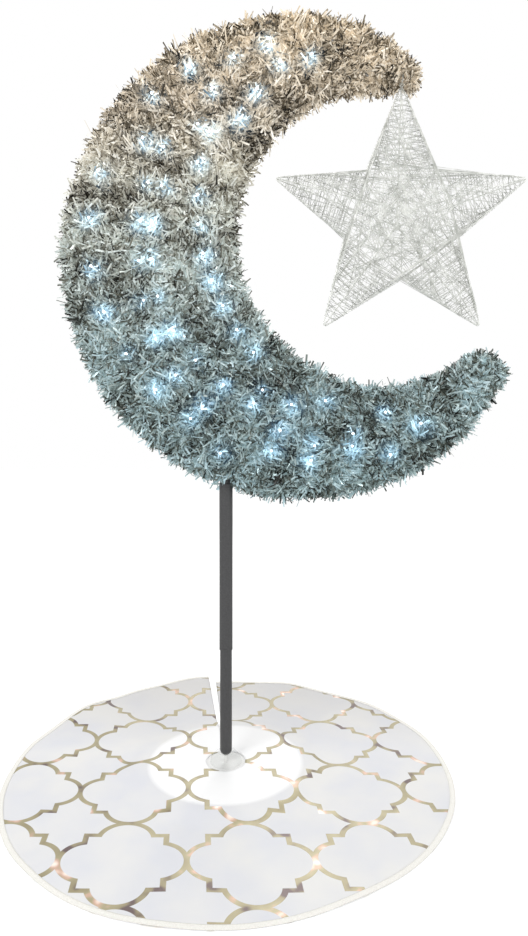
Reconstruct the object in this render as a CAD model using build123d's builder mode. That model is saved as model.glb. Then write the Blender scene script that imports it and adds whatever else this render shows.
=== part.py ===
from build123d import *

import os
from math import atan2, cos, hypot, pi, radians, sin, sqrt, tan

import numpy as np

# A tinsel crescent with lamps and a hanging wire star, on a two-part pole over a skirted base.
# Origin: on the floor, on the pole's axis. The crescent stands in the XZ plane and faces -Y.
# Driving dimensions, in millimetres, with angles in degrees.

FIT = 0.3  # clearance between pieces seated on each other
WELD_FIT = 0.1  # gap between rods that are welded together

# Base, under the skirt
MAT_D = 320
MAT_T = 2
PLATE_D = 340
PLATE_T = 6
PLATE_EDGE = 1.5
BOSS_D = 68
BOSS_TOP_D = 40
BOSS_H = 22
BOSS_FOOT_H = 5
BOSS_CUP_DEPTH = 7
BOLT_D = 8
BOLT_HEAD_D = 15
BOLT_GRIP = 24

# Pole
LOWER_POLE_D = 26
LOWER_POLE_L = 330
POLE_OVERLAP = 110
UPPER_POLE_L = 345
POLE_WALL = 1.2
PLUG_SHANK_L = 30
STOP_RING_H = 4
STUB_IN = 110
STUB_ABOVE_RIM = 12
COLLAR_H = 12
COLLAR_ROUND = 1

# Skirt
SKIRT_D = 914
SKIRT_T = 1.6
SKIRT_HOLE_D = 84
SKIRT_SLOPE = 55
SKIRT_BEND_R = 40
SLIT_ANGLE = 95
SLIT_W_RIM = 22
SLIT_W_HOLE = 5
BINDING_W = 14
BINDING_T = 1.4

# Crescent: two circles, the inner one shifted towards the mouth
MOON_OUTER_R = 522
MOON_BACK_W = 382  # between the two circles, at the crescent's back
MOON_MOUTH_W = 10  # between the two circles, at the mouth's middle line
MOUTH_TILT = 14.2
MOON_OFFSET = 167
NECK = 6
ROD_D = 6
RUNG_D = 4
HORN_TIP_ANGLE = 46  # where the outer rim's rod ends, from the mouth's middle line
RUNGS = 9

# Tinsel garlands, wound round both rims on rays from a hub between the two circles' centres
GARLANDS = 10
LOOPS_EACH = 2
GARLAND_FILL = 0.8095  # how much of the loops' spacing a garland takes, at the inner rim's back
LOOPS_ABOVE_POLE = 14.5
POLE_GAP_DROP = 12  # under the outer rim, where the pole stands midway between two loops
LOOP_HUB = 0.7  # the hub's place, as a share of the mouth's shift
LOOP_STEP = 10
TURN_SHARE = 0.18  # how much of a loop's advance is made on either side of each turn
WIRE_TURN_SHARE = 0.25
SLEEVE_GAP = 3
TUFT_DOME = 24
TUFT_L = 32
LOWER_TUFT_ANGLE = 46
UPPER_HORN_TAPER = 26  # how far the upper horn's outside comes in at its tip
HANGER_ROOM = 15
HANGER_SLOT_W = 42
HANGER_SLOT_H = 80

# Lamps and their wire
LIGHT_WIRE_D = 2.4
LAMP_SPACING = 70
LAMP_STRAY = 0.35  # how far a lamp may lie from its even place, as a share of the spacing
LAMP_STRAY_TURN = 2.4  # radians, from one lamp to the next, on the sine that sets the stray
HOLDER_D = 6
HOLDER_TOP_D = 5
HOLDER_H = 7
LENS_D = 4.6
LENS_BARREL_H = 2

# Hanger, from the horn's eye to the star's own loop
EYE_ANGLE = 48.3
EYE_R = 5
EYE_WIRE_D = 3
RING_R = 16
RING_WIRE_D = 2.4
LOOP_R = 4
LOOP_WIRE_D = 2.4
LINK_FIT = 0.2

# Star
STAR_R = 291
STAR_NOTCH_R = 130
STAR_DEPTH = 45
STAR_POINTS = 5
STAR_ROD_D = 3
RIB_D = 2.5
STAR_BEND_R = 4
HUB_D = 18
HUB_T = 3
STAR_WIRE_D = 1.2
ARM_LOOPS = 14
ARM_WIND_FROM = 26
ARM_WIND_TO = 172
WEB_TURNS = 7
WEB_FROM_R = 22
WEB_TO_R = 98
WEB_BEND_R = 5

POINTS_PER_HALF_TURN = 16  # for measuring how near a winding comes to itself

# Heights up the stand
plate_top = MAT_T + PLATE_T
boss_top = plate_top + BOSS_H
plug_r = LOWER_POLE_D / 2
pole_foot = boss_top - BOSS_CUP_DEPTH + plug_r
pole_step = pole_foot + LOWER_POLE_L - POLE_OVERLAP
pole_top = pole_step + UPPER_POLE_L
upper_pole_d = LOWER_POLE_D + 2 * (FIT + POLE_WALL)

# The crescent's circles
moon_inner_r = MOON_OUTER_R - (MOON_BACK_W + MOON_MOUTH_W) / 2
mouth_shift = (MOON_BACK_W - MOON_MOUTH_W) / 2
moon_z = pole_top + NECK + sqrt(MOON_OUTER_R**2 - MOON_OFFSET**2)
moon_centre = Vector(MOON_OFFSET, 0, moon_z)
tilt = radians(MOUTH_TILT)
mouth_centre = moon_centre + Vector(cos(tilt), 0, sin(tilt)) * mouth_shift


def on_circle(centre, radius, angle):
    """A point of a circle in the XZ plane, with the angle in radians from +X."""
    return centre + Vector(cos(angle), 0, sin(angle)) * radius


def on_ray(origin, angle, centre, radius):
    """Where a ray from an origin inside a circle meets it, with the angle in radians from +X."""
    way = Vector(cos(angle), 0, sin(angle))
    out = centre - origin
    along = out.dot(way)
    return origin + way * (along + sqrt(along**2 + radius**2 - out.dot(out)))


def angle_from(origin, point):
    return atan2(point.Z - origin.Z, point.X - origin.X) % (2 * pi)


# The rims lie inside the tinsel, one garland's thickness from the crescent's outline.
# A thicker garland moves the inner rim out and its loops apart, so the fill is solved for the thickness.
loops = GARLANDS * LOOPS_EACH
bare_back_r = moon_inner_r + FIT + ROD_D / 2 - (1 - LOOP_HUB) * mouth_shift
fill_angle = GARLAND_FILL * radians(LOOP_STEP)
garland_d = bare_back_r * fill_angle / (1 - fill_angle)
rim_inset = garland_d + FIT + ROD_D / 2
outer_rim_r = MOON_OUTER_R - rim_inset
inner_rim_r = moon_inner_r + rim_inset
garland_turn_r = rim_inset - garland_d / 2
wire_turn_r = rim_inset + FIT + LIGHT_WIRE_D / 2

# The pole stands in the gap between two loops, so the loops are counted from it
rim_over_pole = moon_z - sqrt(outer_rim_r**2 - MOON_OFFSET**2)
loop_hub = moon_centre + (mouth_centre - moon_centre) * LOOP_HUB
pole_ray = angle_from(loop_hub, Vector(0, 0, rim_over_pole - POLE_GAP_DROP))


def loop_ray(index):
    """Angle at the hub of the loop with this number."""
    return pole_ray + (index - LOOPS_ABOVE_POLE) * radians(LOOP_STEP)


def outer_place(index):
    """Point of the outer rim under the loop with this number."""
    return on_ray(loop_hub, loop_ray(index), moon_centre, outer_rim_r)


def inner_place(index):
    """Point of the inner rim under the loop with this number."""
    return on_ray(loop_hub, loop_ray(index), mouth_centre, inner_rim_r)


def run_ends(half, turn_share):
    """Rim points that a half loop runs between: even halves go inwards, odd ones outwards."""
    leave = half / 2 + turn_share
    arrive = (half + 1) / 2 - turn_share
    if half % 2:
        return inner_place(leave), outer_place(arrive)
    return outer_place(leave), inner_place(arrive)


def winding_path(first_half, last_half, turn_r, turn_share):
    """A wire wound round both rims, from the middle of one straight run to the middle of another."""

    def run(half):
        side = Vector(0, turn_r if half % 2 else -turn_r, 0)
        leave, arrive = run_ends(half, turn_share)
        return leave + side, arrive + side

    with BuildLine() as path:
        start, end = run(first_half)
        Line((start + end) / 2, end)
        for half in range(first_half + 1, last_half + 1):
            before = (end - start).normalized()
            arrived = end
            start, end = run(half)
            after = (end - start).normalized()
            across = start - arrived
            turned = 1 - before.dot(after)
            ahead = across.dot(before + after)
            reach = (sqrt(ahead**2 + 2 * turned * across.dot(across)) - ahead) / (2 * turned)
            knee_from = arrived + before * reach
            knee_to = start - after * reach
            knee = (knee_from + knee_to) / 2
            TangentArc(arrived, knee, tangent=before)
            TangentArc(knee, start, tangent=knee_to - knee_from)
            Line(start, end if half < last_half else (start + end) / 2)
    return path.wires()[0]


def print_least_gap(name, wire, diameter, bend_r):
    """Measure how near a wound wire comes to itself, on points more than half a turn apart."""
    half_turn = pi * bend_r
    spots = []
    travelled = []
    passed = 0
    for edge in wire.edges():
        count = max(2, int(edge.length / half_turn * POINTS_PER_HALF_TURN))
        spots += [tuple(edge.position_at(spot / count)) for spot in range(count)]
        travelled += [passed + edge.length * spot / count for spot in range(count)]
        passed += edge.length
    spots = np.array(spots)
    later = np.searchsorted(travelled, np.array(travelled) + half_turn)
    least = min(
        np.linalg.norm(spots[far:] - spots[near], axis=1).min()
        for near, far in enumerate(later)
        if far < len(spots)
    )
    print(f"{name}: length {wire.length:.0f} mm, least gap to itself {least - diameter:.2f} mm")


def save(piece, name):
    piece.part.label = name
    export_step(piece.part, f"parts/{name}.step")


os.makedirs("parts", exist_ok=True)

# Base: a rubber mat, a steel plate and a clear boss that the pole's round foot sits in
with BuildPart() as base_mat:
    Cylinder(MAT_D / 2, MAT_T, align=(Align.CENTER, Align.CENTER, Align.MIN))
save(base_mat, "base_mat")

with BuildPart() as base_plate:
    with BuildSketch(Plane.XY.offset(MAT_T)):
        Circle(PLATE_D / 2)
    extrude(amount=PLATE_T)
    fillet(base_plate.edges().group_by(Axis.Z)[-1], PLATE_EDGE)
    with Locations(Location((0, 0, MAT_T), (180, 0, 0))):
        CounterSinkHole(BOLT_D / 2 + FIT, BOLT_HEAD_D / 2 + FIT, depth=PLATE_T, counter_sink_angle=90)
save(base_plate, "base_plate")

with BuildPart() as foot_boss:
    with BuildSketch(Plane.XZ):
        with BuildLine():
            Polyline(
                (BOLT_D / 2 + FIT, plate_top),
                (BOSS_D / 2, plate_top),
                (BOSS_D / 2, plate_top + BOSS_FOOT_H),
            )
            RadiusArc((BOSS_D / 2, plate_top + BOSS_FOOT_H), (BOSS_TOP_D / 2, boss_top), -BOSS_D / 2)
            Polyline(
                (BOSS_TOP_D / 2, boss_top),
                (BOLT_D / 2 + FIT, boss_top),
                (BOLT_D / 2 + FIT, plate_top),
            )
        make_face()
    revolve(axis=Axis.Z)
    with Locations((0, 0, pole_foot)):
        Sphere(plug_r + WELD_FIT, mode=Mode.SUBTRACT)
save(foot_boss, "foot_boss")

with BuildPart() as pole_bolt:
    with BuildSketch(Plane.XZ):
        with BuildLine():
            Polyline(
                (0, MAT_T + WELD_FIT),
                (BOLT_HEAD_D / 2, MAT_T + WELD_FIT),
                (BOLT_D / 2, MAT_T + WELD_FIT + (BOLT_HEAD_D - BOLT_D) / 2),
                (BOLT_D / 2, pole_foot + BOLT_GRIP - plug_r),
                (0, pole_foot + BOLT_GRIP - plug_r),
                close=True,
            )
        make_face()
    revolve(axis=Axis.Z)
save(pole_bolt, "pole_bolt")

# Pole: a lower tube on a round plug, a stop ring, and a wider upper tube that slides over it
with BuildPart() as pole_end_plug:
    with BuildSketch(Plane.XZ):
        with BuildLine():
            shank_r = plug_r - POLE_WALL - WELD_FIT
            Line((0, pole_foot - plug_r), (0, pole_foot + PLUG_SHANK_L))
            Polyline(
                (0, pole_foot + PLUG_SHANK_L),
                (shank_r, pole_foot + PLUG_SHANK_L),
                (shank_r, pole_foot),
                (plug_r, pole_foot),
            )
            CenterArc((0, pole_foot), plug_r, -90, 90)
        make_face()
    revolve(axis=Axis.Z)
    with Locations((0, 0, pole_foot - plug_r)):
        Cylinder(
            BOLT_D / 2 + WELD_FIT,
            BOLT_GRIP + FIT,
            align=(Align.CENTER, Align.CENTER, Align.MIN),
            mode=Mode.SUBTRACT,
        )
save(pole_end_plug, "pole_end_plug")


def tube(outer_d, inner_d, bottom, top):
    with BuildPart() as pipe:
        with BuildSketch(Plane.XY.offset(bottom)):
            Circle(outer_d / 2)
            Circle(inner_d / 2, mode=Mode.SUBTRACT)
        extrude(amount=top - bottom)
    return pipe


lower_pole = tube(
    LOWER_POLE_D, LOWER_POLE_D - 2 * POLE_WALL, pole_foot + WELD_FIT, pole_foot + LOWER_POLE_L
)
save(lower_pole, "lower_pole")

stop_top = pole_step - FIT
stop_ring = tube(upper_pole_d, LOWER_POLE_D + 2 * WELD_FIT, stop_top - STOP_RING_H, stop_top)
save(stop_ring, "stop_ring")

upper_pole = tube(upper_pole_d, upper_pole_d - 2 * POLE_WALL, pole_step, pole_top)
save(upper_pole, "upper_pole")

# Skirt: a round cloth with a hole for the boss and a slit at the back, laid over the plate
skirt_edge_r = SKIRT_D / 2 - BINDING_T - WELD_FIT
shelf = plate_top + FIT
shelf_r = PLATE_D / 2 + FIT


def slit_cutter():
    """The wedge that opens the skirt from its hole to its rim."""
    with BuildPart() as wedge:
        with BuildSketch(Plane.XY.rotated((0, 0, SLIT_ANGLE))):
            with BuildLine():
                Polyline(
                    (0, -SLIT_W_HOLE / 2),
                    (SKIRT_HOLE_D / 2, -SLIT_W_HOLE / 2),
                    (SKIRT_D / 2, -SLIT_W_RIM / 2),
                    (SKIRT_D, -SLIT_W_RIM / 2),
                    (SKIRT_D, SLIT_W_RIM / 2),
                    (SKIRT_D / 2, SLIT_W_RIM / 2),
                    (SKIRT_HOLE_D / 2, SLIT_W_HOLE / 2),
                    (0, SLIT_W_HOLE / 2),
                    close=True,
                )
            make_face()
        extrude(amount=boss_top)
    return wedge.part


with BuildPart() as skirt:
    with BuildSketch(Plane.XZ) as cloth_section:
        with BuildLine():
            Polyline(
                (SKIRT_HOLE_D / 2, shelf),
                (shelf_r, shelf),
                (shelf_r + SKIRT_SLOPE, 0),
                (skirt_edge_r, 0),
                (skirt_edge_r, SKIRT_T),
                (shelf_r + SKIRT_SLOPE, SKIRT_T),
                (shelf_r, shelf + SKIRT_T),
                (SKIRT_HOLE_D / 2, shelf + SKIRT_T),
                close=True,
            )
        make_face()
        bends = cloth_section.vertices().filter_by_position(Axis.X, shelf_r - 1, shelf_r + SKIRT_SLOPE + 1)
        fillet(bends, SKIRT_BEND_R)
    revolve(axis=Axis.Z)
    add(slit_cutter(), mode=Mode.SUBTRACT)
save(skirt, "skirt")

with BuildPart() as skirt_binding:
    with BuildSketch(Plane.XZ):
        with BuildLine():
            tape_bottom = SKIRT_T + WELD_FIT
            tape_top = tape_bottom + BINDING_T
            Polyline(
                (SKIRT_D / 2, 0),
                (SKIRT_D / 2, tape_top),
                (SKIRT_D / 2 - BINDING_W, tape_top),
                (SKIRT_D / 2 - BINDING_W, tape_bottom),
                (SKIRT_D / 2 - BINDING_T, tape_bottom),
                (SKIRT_D / 2 - BINDING_T, 0),
                close=True,
            )
        make_face()
    revolve(axis=Axis.Z)
    add(slit_cutter(), mode=Mode.SUBTRACT)
save(skirt_binding, "skirt_binding")


# Crescent frame: two bent rims that meet at the horns, rungs between them and a stub for the pole
def rim_arc(centre, radius, start, end):
    """An arc of a rim, counter-clockwise seen from the front, with angles in radians."""
    with BuildLine() as arc:
        ThreePointArc(
            on_circle(centre, radius, start),
            on_circle(centre, radius, (start + end) / 2),
            on_circle(centre, radius, end),
        )
    return arc.wires()[0]


def swept_rod(path, diameter):
    with BuildPart() as rod:
        with BuildSketch(Plane(path @ 0, z_dir=path % 0)):
            Circle(diameter / 2)
        sweep(path=path)
    return rod


horn_tip = radians(HORN_TIP_ANGLE)
outer_rim_path = rim_arc(moon_centre, outer_rim_r, tilt + horn_tip, tilt + 2 * pi - horn_tip)
outer_rim = swept_rod(outer_rim_path, ROD_D)
save(outer_rim, "outer_rim")

# The inner rim ends where it comes to lie beside the outer one
weld_r = outer_rim_r - ROD_D - WELD_FIT
weld_along = (weld_r**2 + mouth_shift**2 - inner_rim_r**2) / (2 * mouth_shift)
weld_angle = atan2(sqrt(weld_r**2 - weld_along**2), weld_along - mouth_shift)
inner_rim_path = rim_arc(mouth_centre, inner_rim_r, tilt + weld_angle, tilt + 2 * pi - weld_angle)
inner_rim = swept_rod(inner_rim_path, ROD_D)
save(inner_rim, "inner_rim")

with BuildPart() as frame_rungs:
    for number in range(1, RUNGS + 1):
        index = number * loops / (RUNGS + 1)
        foot = outer_place(index)
        head = inner_place(index)
        inward = (head - foot).normalized()
        seat = ROD_D / 2 + WELD_FIT
        foot_lean = abs(inward.dot((moon_centre - foot).normalized()))
        head_lean = abs(inward.dot((head - mouth_centre).normalized()))
        foot_seat = seat / foot_lean + RUNG_D / 2 * sqrt(1 - foot_lean**2) / foot_lean
        head_seat = seat / head_lean + RUNG_D / 2 * sqrt(1 - head_lean**2) / head_lean
        with BuildSketch(Plane(foot + inward * foot_seat, z_dir=inward)):
            Circle(RUNG_D / 2)
        extrude(amount=(head - foot).length - foot_seat - head_seat)
save(frame_rungs, "frame_rungs")

stub_d = upper_pole_d - 2 * POLE_WALL - 2 * FIT
with BuildPart() as stub_tube:
    with BuildSketch(Plane.XY.offset(pole_top - STUB_IN)):
        Circle(stub_d / 2)
        Circle(stub_d / 2 - POLE_WALL, mode=Mode.SUBTRACT)
    extrude(amount=STUB_IN + rim_over_pole - pole_top + STUB_ABOVE_RIM)
    add(swept_rod(outer_rim_path, ROD_D + 2 * WELD_FIT).part, mode=Mode.SUBTRACT)
save(stub_tube, "stub_tube")

with BuildPart() as stub_collar:
    with BuildSketch(Plane.XY.offset(pole_top + FIT)):
        Circle(upper_pole_d / 2)
        Circle(stub_d / 2 + WELD_FIT, mode=Mode.SUBTRACT)
    extrude(amount=COLLAR_H)
    fillet(stub_collar.edges().group_by(Axis.Z)[-1].sort_by(SortBy.RADIUS)[-1], COLLAR_ROUND)
save(stub_collar, "stub_collar")

# Tinsel: garlands wound round the rims, one after the other, with room in one of them for the stub
with BuildPart() as stub_room:
    with Locations((0, 0, pole_top)):
        Cylinder(
            upper_pole_d / 2 + FIT,
            rim_over_pole + STUB_ABOVE_RIM + FIT - pole_top,
            align=(Align.CENTER, Align.CENTER, Align.MIN),
        )

halves_each = 2 * LOOPS_EACH
garland_at_pole = int(LOOPS_ABOVE_POLE / LOOPS_EACH)
for number in range(GARLANDS):
    first = number * halves_each - 1
    last = first + halves_each + (1 if number == GARLANDS - 1 else 0)
    garland_path = winding_path(first, last, garland_turn_r, TURN_SHARE)
    garland = swept_rod(garland_path, garland_d)
    if number == garland_at_pole:
        with garland:
            add(stub_room.part, mode=Mode.SUBTRACT)
    name = f"garland_{number + 1:02d}"
    print_least_gap(name, garland_path, garland_d, garland_turn_r)
    save(garland, name)


# The horns end in brushes: a bored sleeve over the last of the rims, and a domed tuft at the tip
def outline_angles(origin, ray):
    """Angles round the two circles' centres where a ray crosses the crescent's outline."""
    outer = on_ray(origin, ray, moon_centre, MOON_OUTER_R)
    inner = on_ray(origin, ray, mouth_centre, moon_inner_r)
    return np.array([angle_from(moon_centre, outer), angle_from(mouth_centre, inner)])


def horn_sleeve(wide_ray, tip_ray, taper=0):
    """A sleeve from a ray of the loops' hub to a ray of the moon's centre."""
    wide = outline_angles(loop_hub, wide_ray)
    tip = outline_angles(moon_centre, tip_ray)
    with BuildPart() as sleeve:
        for share in (0, 0.5, 1):
            outer_angle, inner_angle = wide + (tip - wide) * share
            outer = on_circle(moon_centre, MOON_OUTER_R - taper * share**2, outer_angle)
            inner = on_circle(mouth_centre, moon_inner_r, inner_angle)
            width = outer - inner
            with BuildSketch(Plane((outer + inner) / 2, x_dir=width, z_dir=width.cross(Vector(0, 1, 0)))):
                Ellipse(width.length / 2, rim_inset)
        loft()
        add(swept_rod(outer_rim_path, ROD_D + 2 * FIT).part, mode=Mode.SUBTRACT)
        add(swept_rod(inner_rim_path, ROD_D + 2 * FIT).part, mode=Mode.SUBTRACT)
    return sleeve


def horn_tuft(ray, way, taper=0):
    """A tuft whose flat end lies on a ray of the moon's centre."""
    inner = on_ray(moon_centre, ray, mouth_centre, moon_inner_r)
    outer = on_circle(moon_centre, MOON_OUTER_R - taper, ray)
    root = (inner + outer) / 2
    tuft_r = (outer - inner).length / 2
    heading = Vector(sin(ray), 0, -cos(ray)) * way
    outward = (root - moon_centre).normalized()
    dome_r = (tuft_r**2 + TUFT_DOME**2) / (2 * TUFT_DOME)
    with BuildPart() as tuft:
        with BuildSketch(Plane(root, x_dir=outward, z_dir=outward.cross(heading))):
            with BuildLine():
                Polyline((0, 0), (tuft_r, 0), (tuft_r, TUFT_L - TUFT_DOME))
                RadiusArc((tuft_r, TUFT_L - TUFT_DOME), (0, TUFT_L), -dome_r)
                Line((0, TUFT_L), (0, 0))
            make_face()
        revolve(axis=Axis(root, heading))
        add(swept_rod(outer_rim_path, ROD_D + 2 * FIT).part, mode=Mode.SUBTRACT)
        add(swept_rod(inner_rim_path, ROD_D + 2 * FIT).part, mode=Mode.SUBTRACT)
    return tuft


# The sleeves begin clear of the first and last loops, and the upper one leaves room for the hanger
loop_room = (garland_d / 2 + SLEEVE_GAP) / inner_rim_r
first_ray = loop_ray(-0.25) - loop_room
last_ray = loop_ray(loops + 0.25) + loop_room
eye_ray = tilt + radians(EYE_ANGLE)
hanger_room = HANGER_ROOM / outer_rim_r
upper_tuft_ray = eye_ray - hanger_room
lower_tuft_ray = tilt + 2 * pi - radians(LOWER_TUFT_ANGLE)
upper_sleeve = horn_sleeve(first_ray, eye_ray + hanger_room, UPPER_HORN_TAPER)
save(upper_sleeve, "upper_sleeve")
upper_tuft = horn_tuft(upper_tuft_ray, 1, UPPER_HORN_TAPER)
eye_inset = ROD_D / 2 + EYE_WIRE_D / 2 + EYE_R + WELD_FIT
eye_centre = on_circle(moon_centre, outer_rim_r - eye_inset, eye_ray)
with upper_tuft:
    with Locations(eye_centre):
        Box(
            HANGER_SLOT_W,
            HANGER_SLOT_W,
            HANGER_SLOT_H,
            align=(Align.CENTER, Align.CENTER, Align.MAX),
            mode=Mode.SUBTRACT,
        )
save(upper_tuft, "upper_tuft")
lower_sleeve = horn_sleeve(last_ray, lower_tuft_ray - WELD_FIT / outer_rim_r)
save(lower_sleeve, "lower_sleeve")
lower_tuft = horn_tuft(lower_tuft_ray, -1)
save(lower_tuft, "lower_tuft")

# Lamps: one wire wound over the garlands, with lamps standing on its runs, front and back
light_path = winding_path(0, 2 * loops - 1, wire_turn_r, WIRE_TURN_SHARE)
light_wire = swept_rod(light_path, LIGHT_WIRE_D)
print_least_gap("light_wire", light_path, LIGHT_WIRE_D, wire_turn_r)
save(light_wire, "light_wire")

lamp_seat = wire_turn_r + LIGHT_WIRE_D / 2 + WELD_FIT
lamp_places = []
for half in range(1, 2 * loops - 1):
    start, end = run_ends(half, WIRE_TURN_SHARE)
    along = end - start
    lamps = max(1, round(along.length / LAMP_SPACING))
    side = Vector(0, 1 if half % 2 else -1, 0)
    for lamp in range(lamps):
        stray = LAMP_STRAY * sin(len(lamp_places) * LAMP_STRAY_TURN)
        spot = start + along * ((lamp + 0.5 + stray) / lamps) + side * lamp_seat
        lamp_places.append(Plane(spot, x_dir=(1, 0, 0), z_dir=side).location)
print(f"lamps: {len(lamp_places)}")

standing = (Align.CENTER, Align.CENTER, Align.MIN)
with BuildPart() as lamp_holders:
    with Locations(*lamp_places):
        Cone(HOLDER_D / 2, HOLDER_TOP_D / 2, HOLDER_H, align=standing)
save(lamp_holders, "lamp_holders")

lens_places = [place * Location((0, 0, HOLDER_H + WELD_FIT)) for place in lamp_places]
dome_places = [place * Location((0, 0, LENS_BARREL_H)) for place in lens_places]
with BuildPart() as lamp_lenses:
    with Locations(*lens_places):
        Cylinder(LENS_D / 2, LENS_BARREL_H, align=standing)
    with Locations(*dome_places):
        Sphere(LENS_D / 2, arc_size1=0, align=standing)
save(lamp_lenses, "lamp_lenses")


# Hanger: an eye under the upper horn, a ring through it, and the star's loop through the ring
def wire_ring(centre, radius, wire_d, axis):
    with BuildPart() as ring:
        with Locations(Plane(centre, z_dir=axis).location):
            Torus(radius, wire_d / 2)
    return ring


star_eye = wire_ring(eye_centre, EYE_R, EYE_WIRE_D, (0, 1, 0))
save(star_eye, "star_eye")

sway_pivot = eye_centre + Vector(0, 0, (EYE_WIRE_D + RING_WIRE_D) / 2 + LINK_FIT - EYE_R)
ring_centre = sway_pivot - Vector(0, 0, RING_R)
hanger_ring = wire_ring(ring_centre, RING_R, RING_WIRE_D, (1, 0, 0))
save(hanger_ring, "hanger_ring")

nod_pivot = ring_centre + Vector(0, 0, (RING_WIRE_D + LOOP_WIRE_D) / 2 + LINK_FIT - RING_R)
loop_centre = nod_pivot - Vector(0, 0, LOOP_R)
star_loop = wire_ring(loop_centre, LOOP_R, LOOP_WIRE_D, (0, 1, 0))
save(star_loop, "star_loop")
print(f"pivots: sway {sway_pivot}, nod {nod_pivot}")

# Star: a bent outline, ribs to a raised hub on each face, and wire wound round each arm
half_step = pi / STAR_POINTS
arm_length = STAR_R - STAR_NOTCH_R * cos(half_step)
arm_half_angle = atan2(STAR_NOTCH_R * sin(half_step), arm_length)
tip_cut = STAR_BEND_R * (1 / sin(arm_half_angle) - 1)
star_top = loop_centre.Z - LOOP_R - LOOP_WIRE_D / 2 - WELD_FIT - STAR_ROD_D / 2
star_centre = Vector(eye_centre.X, 0, star_top + tip_cut - STAR_R)
arm_angles = [pi / 2 + 2 * half_step * arm for arm in range(STAR_POINTS)]

corners = []
for angle in arm_angles:
    corners.append(on_circle(star_centre, STAR_NOTCH_R, angle - half_step))
    corners.append(on_circle(star_centre, STAR_R, angle))
with BuildLine() as star_outline_path:
    FilletPolyline(*corners, radius=STAR_BEND_R, close=True)
star_outline = swept_rod(star_outline_path.wires()[0], STAR_ROD_D)
save(star_outline, "star_outline")

# The ribs lie on the outline at the tips and end at the hubs
rib_seat = (STAR_ROD_D + RIB_D) / 2 + WELD_FIT
rib_from_r = HUB_D / 2 + FIT
rib_to_r = STAR_R - tip_cut


def rib_depth(radius):
    """How far a rib stands off the star's own plane, at a distance from its middle."""
    share = (rib_to_r - radius) / (rib_to_r - rib_from_r)
    return rib_seat + (STAR_DEPTH - rib_seat) * share


def star_ribs(side):
    with BuildPart() as ribs:
        for angle in arm_angles:
            root = on_circle(star_centre, rib_from_r, angle) + Vector(0, side * rib_depth(rib_from_r), 0)
            tip = on_circle(star_centre, rib_to_r, angle) + Vector(0, side * rib_depth(rib_to_r), 0)
            with BuildSketch(Plane(root, z_dir=tip - root)):
                Circle(RIB_D / 2)
            extrude(amount=(tip - root).length)
    return ribs


star_front_ribs = star_ribs(-1)
save(star_front_ribs, "star_front_ribs")
star_back_ribs = star_ribs(1)
save(star_back_ribs, "star_back_ribs")

with BuildPart() as star_hubs:
    for side in (-1, 1):
        with Locations(Plane(star_centre + Vector(0, side * STAR_DEPTH, 0), z_dir=(0, 1, 0)).location):
            Cylinder(HUB_D / 2, HUB_T)
save(star_hubs, "star_hubs")

# Each arm's wire goes round its two edges and its two ribs in turn
wire_seat = (STAR_ROD_D + STAR_WIRE_D) / 2 + FIT


def arm_winding_path(angle):
    outward = Vector(cos(angle), 0, sin(angle))
    across = Vector(-sin(angle), 0, cos(angle))
    corner_count = 4 * ARM_LOOPS
    points = []
    for corner in range(corner_count + 1):
        from_tip = ARM_WIND_FROM + (ARM_WIND_TO - ARM_WIND_FROM) * corner / corner_count
        half_width = from_tip * tan(arm_half_angle)
        half_depth = rib_depth(STAR_R - from_tip)
        side = hypot(half_width, half_depth)
        wide = half_width + wire_seat * side / half_depth
        deep = half_depth + wire_seat * side / half_width
        place = corner % 4
        middle = star_centre + outward * (STAR_R - from_tip)
        offsets = [across * wide, Vector(0, -deep, 0), across * -wide, Vector(0, deep, 0)]
        points.append(middle + offsets[place])
    with BuildLine() as path:
        FilletPolyline(*points, radius=wire_seat)
    return path.wires()[0]


for arm, angle in enumerate(arm_angles):
    arm_path = arm_winding_path(angle)
    winding = swept_rod(arm_path, STAR_WIRE_D)
    name = f"star_winding_{arm + 1}"
    print_least_gap(name, arm_path, STAR_WIRE_D, wire_seat)
    save(winding, name)


# The middle of each face is crossed by a wire that spirals over the ribs
def web_path(side):
    points = []
    steps = WEB_TURNS * STAR_POINTS
    for step in range(steps + 1):
        radius = WEB_FROM_R + (WEB_TO_R - WEB_FROM_R) * step / steps
        stand_off = rib_depth(radius) + (RIB_D + STAR_WIRE_D) / 2 + FIT
        angle = arm_angles[step % STAR_POINTS]
        points.append(on_circle(star_centre, radius, angle) + Vector(0, side * stand_off, 0))
    with BuildLine() as path:
        FilletPolyline(*points, radius=WEB_BEND_R)
    return path.wires()[0]


for name, side in (("star_web_front", -1), ("star_web_back", 1)):
    face_path = web_path(side)
    web = swept_rod(face_path, STAR_WIRE_D)
    print_least_gap(name, face_path, STAR_WIRE_D, WEB_BEND_R)
    save(web, name)

print(f"moon centre {moon_centre}, mouth centre {mouth_centre}, star centre {star_centre}")
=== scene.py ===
from math import cos, hypot, pi, radians, sin, sqrt, tan

import bmesh
import bpy
import numpy as np
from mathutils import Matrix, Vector, noise
from mathutils.kdtree import KDTree


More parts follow.
